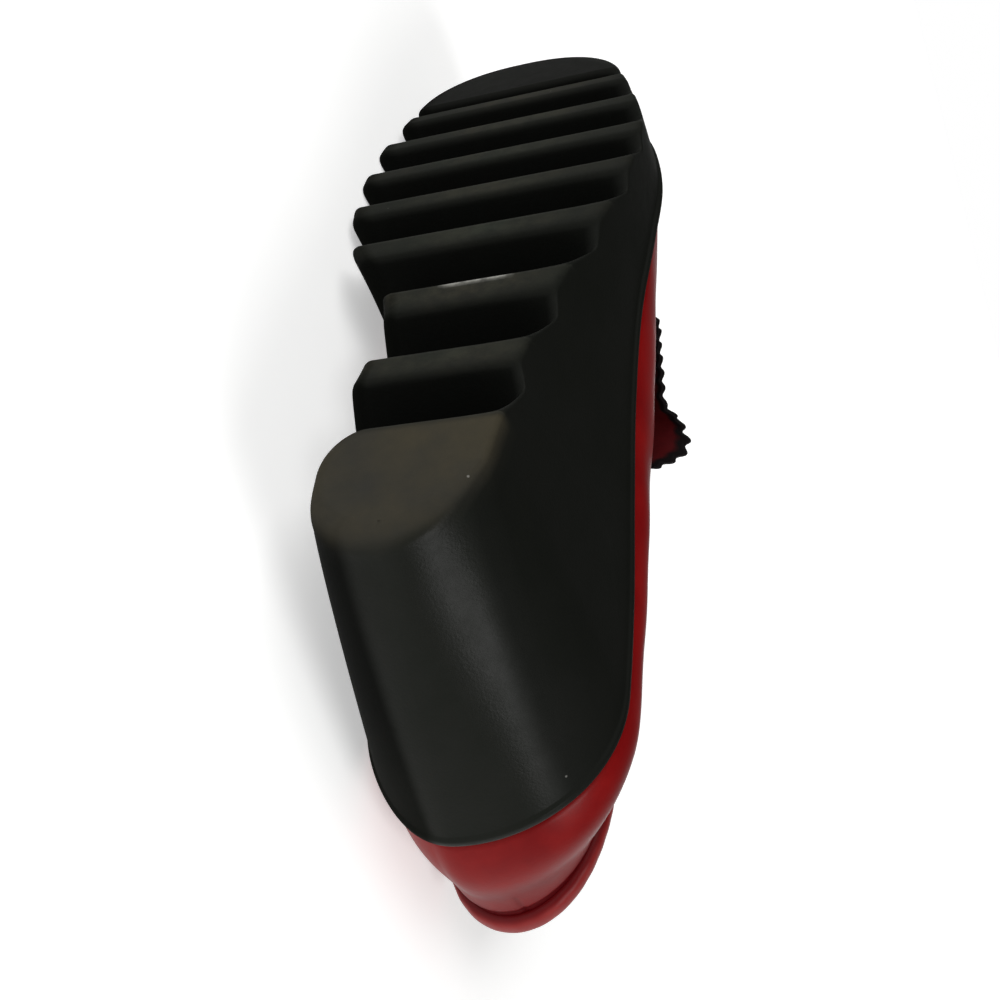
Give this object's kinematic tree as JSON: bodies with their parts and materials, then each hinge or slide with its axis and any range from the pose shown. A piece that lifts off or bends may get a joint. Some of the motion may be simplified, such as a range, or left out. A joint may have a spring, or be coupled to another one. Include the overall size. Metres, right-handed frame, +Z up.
{
  "type": "wedge loafer",
  "caption": "Left wedge loafer lying on its inner side: hollow leather upper with a padded collar and a pinked flap, on a moulded rubber wedge sole with bars and lugs.",
  "frame": {"origin": "centre of the bounding box's base, on the floor under the lying shoe", "axes": "+X towards the heel, +Y from the sole towards the topline, +Z up from the floor"},
  "size_m": [0.2586, 0.1272, 0.0838],
  "materials": {
    "sole_unit": "matte black",
    "upper": "smooth glossy red",
    "collar_band": "smooth glossy red",
    "kiltie_flap": "satin dark red",
    "insole": "matte tan"
  },
  "bodies": {
    "root": {"sole_unit": "sole_unit", "upper": "upper", "collar_band": "collar_band", "kiltie_flap": "kiltie_flap", "insole": "insole"}
  },
  "joints": []
}
